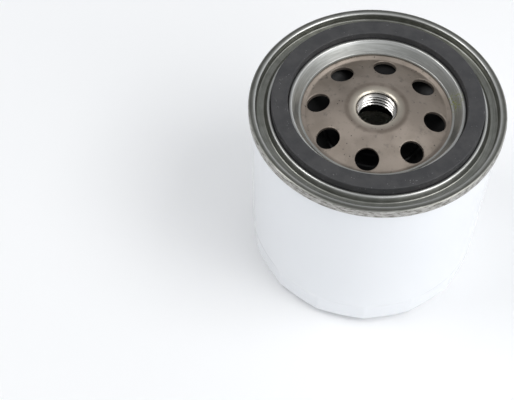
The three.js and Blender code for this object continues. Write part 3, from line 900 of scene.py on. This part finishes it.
def bypass_cage():
    low, high = extent("bypass_cage")
    top = high.z - CAGE_TOP / 2
    wall = high.x - CAGE_WALL / 2
    path = [(wall, low.z), (wall, top, 1.2), (CAGE_VENT_R, top)]
    cage = turned("bypass_cage_cup", strip(rounded(path, 8), CAGE_WALL), 144)
    width, height = CAGE_WINDOW
    half, middle = width / 2, high.z - CAGE_TOP - CAGE_BAND - height / 2
    corners = [(-half, -height / 2), (half, -height / 2), (half, height / 2), (-half, height / 2)]
    outline = closed([(0, -height / 2), *((x, y, 1.0) for x, y in corners[1:] + corners[:1])])
    reach = 2 * high.x * MM
    loops = [(p.x * MM, p.y * MM, z) for z in (0, reach) for p in outline]
    window = make_object("window", loops, tube_faces(2, len(outline)))
    level = Matrix.Translation((0, 0, middle * MM))
    upright = Matrix.Rotation(TURN / 4, 4, "X")
    return cut(cage, window, [level @ Matrix.Rotation(i * TURN / 4, 4, "Z") @ upright for i in range(4)])


def bypass_spring():
    low, high = extent("bypass_spring")
    middle = high.x - BYPASS_WIRE / 2
    foot, top = (middle, low.z + BYPASS_WIRE / 2), (middle, high.z - BYPASS_WIRE / 2)
    return coil("bypass_spring_wire", foot, top, BYPASS_WIRE, BYPASS_TURNS)


# ---- Assembly ----

PIECES = {
    "can": can(),
    "seaming_lid": seaming_lid(),
    "seam_sealant": seam_sealant(),
    "base_plate": base_plate(),
    "gasket": gasket(),
    "element_spring": element_spring(),
    "anti_drainback_valve": anti_drainback_valve(),
    "upper_end_cap": end_cap("upper_end_cap", -1),
    "lower_end_cap": end_cap("lower_end_cap", 1),
    "upper_glue": glue_ring("upper_glue"),
    "lower_glue": glue_ring("lower_glue"),
    "pleated_media": pleated_media(),
    "media_seam_clip": media_seam_clip(),
    "centre_tube": centre_tube(),
    "spring_washer": spring_washer(),
    "bypass_seat": bypass_seat(),
    "bypass_cage": bypass_cage(),
    "bypass_spring": bypass_spring(),
    "bypass_poppet": bypass_poppet(),
    "bypass_seal": bypass_seal(),
}

record = frame["record"]
slots = {part["node"]: part["material_slot"] for part in record["subparts"]}
homes = {node: body for body, nodes in record["behaviour"]["bodies"].items() for node in nodes}
for node, piece in PIECES.items():
    piece.data.materials.clear()
    piece.data.materials.append(MATERIALS[slots[node]])
    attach(piece, homes[node])
    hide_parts(node)


def spring_back(node):
    """Gives a piece its own copy of its mesh."""
    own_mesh(PIECES[node])


spring_back("anti_drainback_valve")
spring_back("element_spring")
spring_back("bypass_spring")


# ---- Stage ----


def area_light(name, location, size, power, color=(1, 1, 1)):
    """A square soft light that faces the middle of the filter."""
    light = bpy.data.lights.new(name, "AREA")
    light.shape = "SQUARE"
    light.size = size
    light.energy = power
    light.color = color
    lamp = bpy.data.objects.new(name, light)
    lamp.location = location
    aim = Vector((0, 0, SEAM_TOP * MM / 2)) - lamp.location
    lamp.rotation_euler = aim.to_track_quat("-Z", "Y").to_euler()
    bpy.context.scene.collection.objects.link(lamp)


def floor():
    surface = Surface("floor", Roughness=0.6)
    surface.set("Base Color", grey(0.96))
    half = 3.0
    corners = [(-half, -half, 0), (half, -half, 0), (half, half, 0), (-half, half, 0)]
    plane = make_object("floor", corners, [(0, 1, 2, 3)])
    plane.data.materials.append(surface.material)


def world(axis, bright, dim, color):
    """A studio that is bright round the horizon and dims towards the ceiling, along an axis that may lean."""
    made = bpy.data.worlds.new("studio")
    made.use_nodes = True
    nodes, links = made.node_tree.nodes, made.node_tree.links
    background = nodes["Background"]
    background.inputs["Color"].default_value = color
    direction = nodes.new("ShaderNodeTexCoord")
    along = nodes.new("ShaderNodeVectorMath")
    along.operation = "DOT_PRODUCT"
    along.inputs[1].default_value = axis
    fade = nodes.new("ShaderNodeMapRange")
    links.new(direction.outputs["Generated"], along.inputs[0])
    links.new(along.outputs["Value"], fade.inputs["Value"])
    for name, number in (("From Min", 0.1), ("From Max", 0.65), ("To Min", bright), ("To Max", dim)):
        fade.inputs[name].default_value = number
    links.new(fade.outputs["Result"], background.inputs["Strength"])
    bpy.context.scene.world = made


def camera():
    """Looks down on the mounting face. Both points are in seam radii from the centre of the seam's top."""
    place = Vector((0.2545, -5.4207, 6.7076))
    aim = Vector((-0.7229, -1.0637, 0.0))
    roll = math.radians(-0.6)
    unit = SEAM_R * MM
    origin = Vector((0, 0, SEAM_TOP * MM))
    lens = bpy.data.cameras.new("camera")
    lens.sensor_width = 36.0
    lens.lens = 77.4
    lens.clip_start = 0.01
    eye = bpy.data.objects.new("camera", lens)
    eye.location = origin + place * unit
    look = ((aim - place) * unit).to_track_quat("-Z", "Y")
    eye.rotation_euler = (look.to_matrix() @ Matrix.Rotation(roll, 3, "Z")).to_euler()
    bpy.context.scene.collection.objects.link(eye)
    bpy.context.scene.camera = eye


floor()
world((-0.5, 0.0, 0.866), 1.0, 0.4, (0.94, 0.965, 1.0, 1))
area_light("key", (0.55, -0.3, 0.5), 0.45, 1.0)
area_light("left", (-0.45, -0.05, 0.75), 0.4, 1.9)
area_light("right", (0.45, -0.05, 0.75), 0.4, 1.9)
camera()
bpy.context.scene.view_settings.view_transform = "Standard"
